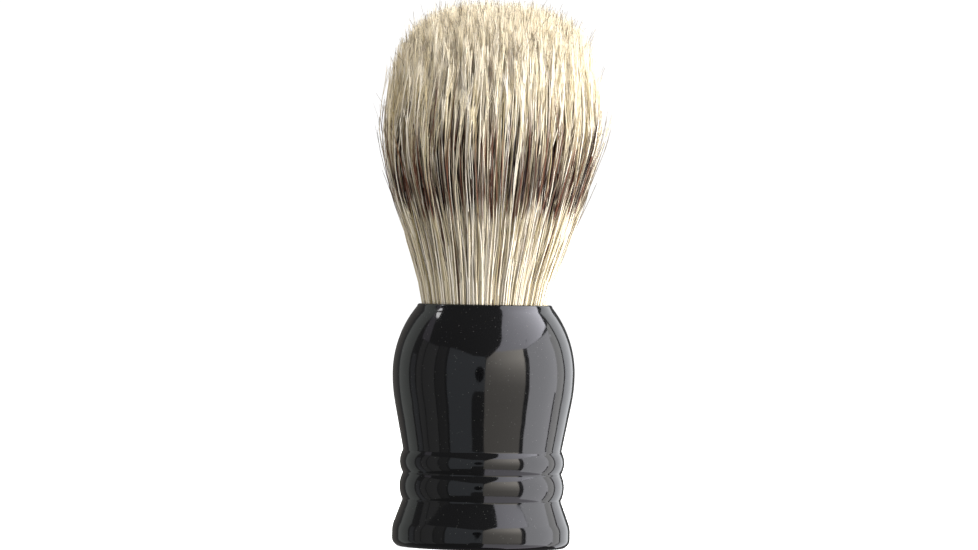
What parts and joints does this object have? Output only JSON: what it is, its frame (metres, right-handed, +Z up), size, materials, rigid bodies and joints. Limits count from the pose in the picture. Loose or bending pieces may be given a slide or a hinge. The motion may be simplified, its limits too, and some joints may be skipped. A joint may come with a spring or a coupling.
{
  "type": "shaving brush",
  "caption": "Shaving brush with a glossy black turned handle, two beads over a flared foot, and a domed bristle knot with a dark dyed band that flexes from side to side and front to back.",
  "frame": {"origin": "centre of the foot's face, on the surface that the brush stands on", "axes": "+Z up the handle's axis to the bristle tips; +X to the right and -Y towards the viewer; the brush is round about Z"},
  "size_m": [0.0436, 0.0436, 0.105],
  "materials": {
    "handle_plastic": "high gloss, moulded and polished",
    "cap_plastic": "fine matt, as moulded",
    "hot_melt_glue": "set hot-melt glue, waxy",
    "weight_steel": "sawn and tumbled",
    "epoxy_adhesive": "set epoxy, hard",
    "cup_aluminium": "drawn, satin",
    "knot_resin": "cast epoxy, amber",
    "binding_cotton": "waxed cotton thread",
    "bristle_natural": "bleached natural boar bristle, satin",
    "bristle_dyed": "boar bristle with a dark brown dyed band, satin"
  },
  "bodies": {
    "handle": {"handle_shell": "handle_plastic", "base_cap": "cap_plastic", "weight_glue": "hot_melt_glue", "ballast_weight": "weight_steel", "socket_adhesive": "epoxy_adhesive", "knot_cup": "cup_aluminium", "resin_plug": "knot_resin", "binding_thread": "binding_cotton", "bristle_roots": "bristle_natural"},
    "shafts": {"bristle_shafts": "bristle_dyed"},
    "tips": {"bristle_tips": "bristle_natural"}
  },
  "joints": [
    {"name": "flex_side", "type": "hinge", "parent": "handle", "child": "shafts", "pos_m": [0, 0, 0.055], "axis": [0, 1, 0], "range_deg": [-20, 20], "stiffness_Nm_per_rad": 0.35},
    {"name": "flex_front", "type": "hinge", "parent": "shafts", "child": "tips", "pos_m": [0, 0, 0.071], "axis": [1, 0, 0], "range_deg": [-20, 20], "stiffness_Nm_per_rad": 0.25}
  ]
}
